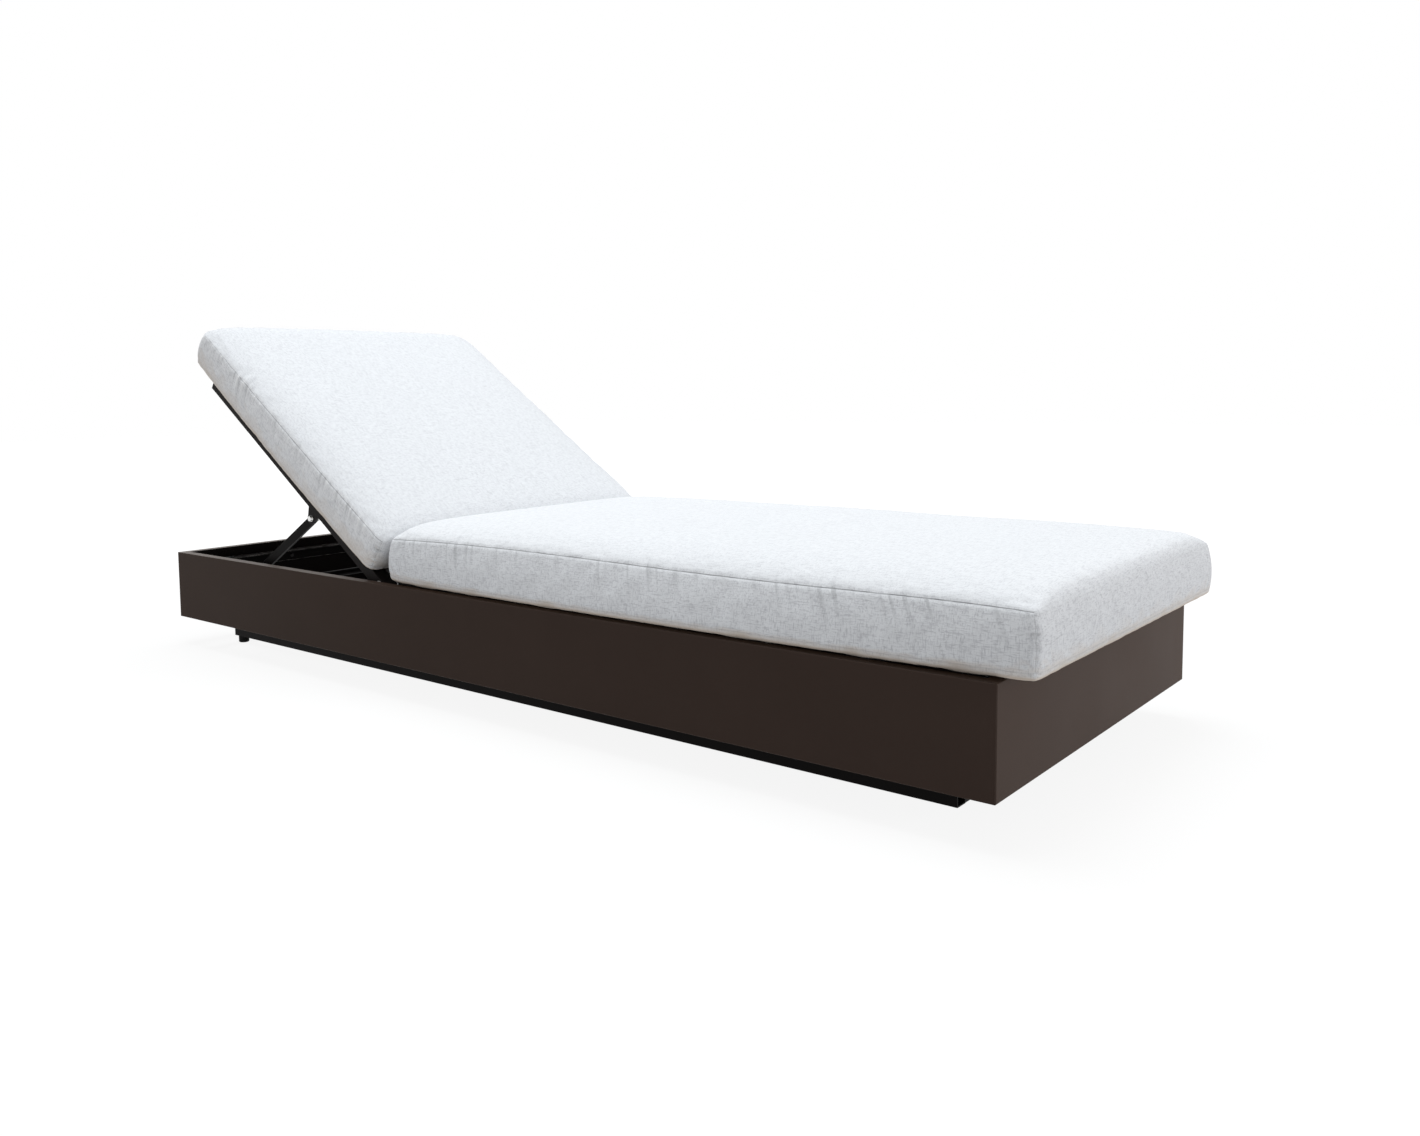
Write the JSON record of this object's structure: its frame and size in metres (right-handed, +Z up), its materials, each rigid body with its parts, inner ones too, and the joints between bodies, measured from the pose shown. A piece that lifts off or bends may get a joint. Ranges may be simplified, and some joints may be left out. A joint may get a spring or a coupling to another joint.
{
  "type": "relaxation lounger",
  "caption": "Low platform lounger: panelled metal base on a recessed plinth, seat cushion on a slatted deck, and a hinged back frame with its cushion on a swinging prop.",
  "frame": {"origin": "on the floor, under the middle of the bounding box", "axes": "+X towards the foot end, +Y to the left of a person who lies on it and looks at the foot end, +Z up"},
  "size_m": [2.046, 0.8, 0.7462],
  "materials": {
    "panel_coat": "satin",
    "plinth_coat": "satin",
    "inner_coat": "satin",
    "deck_coat": "satin",
    "back_frame_coat": "satin",
    "prop_coat": "satin",
    "foot_rubber": "matte",
    "black_plastic": "matte",
    "bearing_plastic": "satin",
    "bracket_metal": "satin",
    "stainless": "satin",
    "cushion_fabric": "matte",
    "cushion_foam": "matte"
  },
  "bodies": {
    "base": {"near_side_panel": "panel_coat", "far_side_panel": "panel_coat", "head_panel": "panel_coat", "foot_panel": "panel_coat", "corner_cleats": "bracket_metal", "frame_screws": "stainless", "plinth_near_rail": "plinth_coat", "plinth_far_rail": "plinth_coat", "plinth_head_rail": "plinth_coat", "plinth_foot_rail": "plinth_coat", "plinth_cross_rail": "plinth_coat", "cross_bearer_1": "plinth_coat", "cross_bearer_2": "plinth_coat", "cross_bearer_3": "plinth_coat", "bearer_brackets": "bracket_metal", "foot_1": "foot_rubber", "foot_2": "foot_rubber", "foot_3": "foot_rubber", "foot_4": "foot_rubber", "foot_studs": "stainless", "near_ledge": "inner_coat", "far_ledge": "inner_coat", "head_ledge": "inner_coat", "rest_pads": "foot_rubber", "deck_slat_1": "deck_coat", "deck_slat_2": "deck_coat", "deck_slat_3": "deck_coat", "deck_slat_4": "deck_coat", "deck_slat_5": "deck_coat", "deck_slat_6": "deck_coat", "deck_slat_7": "deck_coat", "deck_screws": "stainless", "near_rack": "inner_coat", "far_rack": "inner_coat", "near_hinge_plate": "bracket_metal", "far_hinge_plate": "bracket_metal", "hinge_pins": "stainless", "hinge_nuts": "stainless", "seat_cover": "cushion_fabric", "seat_foam": "cushion_foam"},
    "backrest": {"back_near_rail": "back_frame_coat", "back_far_rail": "back_frame_coat", "back_top_rail": "back_frame_coat", "back_bottom_rail": "back_frame_coat", "rail_caps": "black_plastic", "back_slat_1": "back_frame_coat", "back_slat_2": "back_frame_coat", "back_slat_3": "back_frame_coat", "back_slat_4": "back_frame_coat", "back_slat_5": "back_frame_coat", "hinge_bushes": "bearing_plastic", "prop_tabs": "back_frame_coat", "prop_bolts": "stainless", "prop_washers": "bearing_plastic", "prop_nuts": "stainless"},
    "back_cushion": {"back_cover": "cushion_fabric", "back_foam": "cushion_foam"},
    "prop": {"prop_near_leg": "prop_coat", "prop_far_leg": "prop_coat", "prop_bar": "prop_coat"}
  },
  "joints": [
    {"name": "back_recline", "type": "hinge", "parent": "base", "child": "backrest", "pos_m": [-0.281, 0, 0.2105], "axis": [0, 1, 0], "range_deg": [-34.5, 20.5]},
    {"name": "prop_swing", "type": "hinge", "parent": "backrest", "child": "prop", "pos_m": [-0.51788, 0, 0.32841], "axis": [0, 1, 0], "range_deg": [-37.5, 62.8]},
    {"name": "back_cushion_creep", "type": "slide", "parent": "backrest", "child": "back_cushion", "axis": [-0.8241, 0, 0.5664], "range_m": [-0.0745, 0.0445]}
  ],
  "couplings": [
    {"joint": "prop_swing", "follows": "back_recline", "ratio": -1.8118},
    {"joint": "back_cushion_creep", "follows": "back_recline", "m_per_rad": 0.1229}
  ]
}
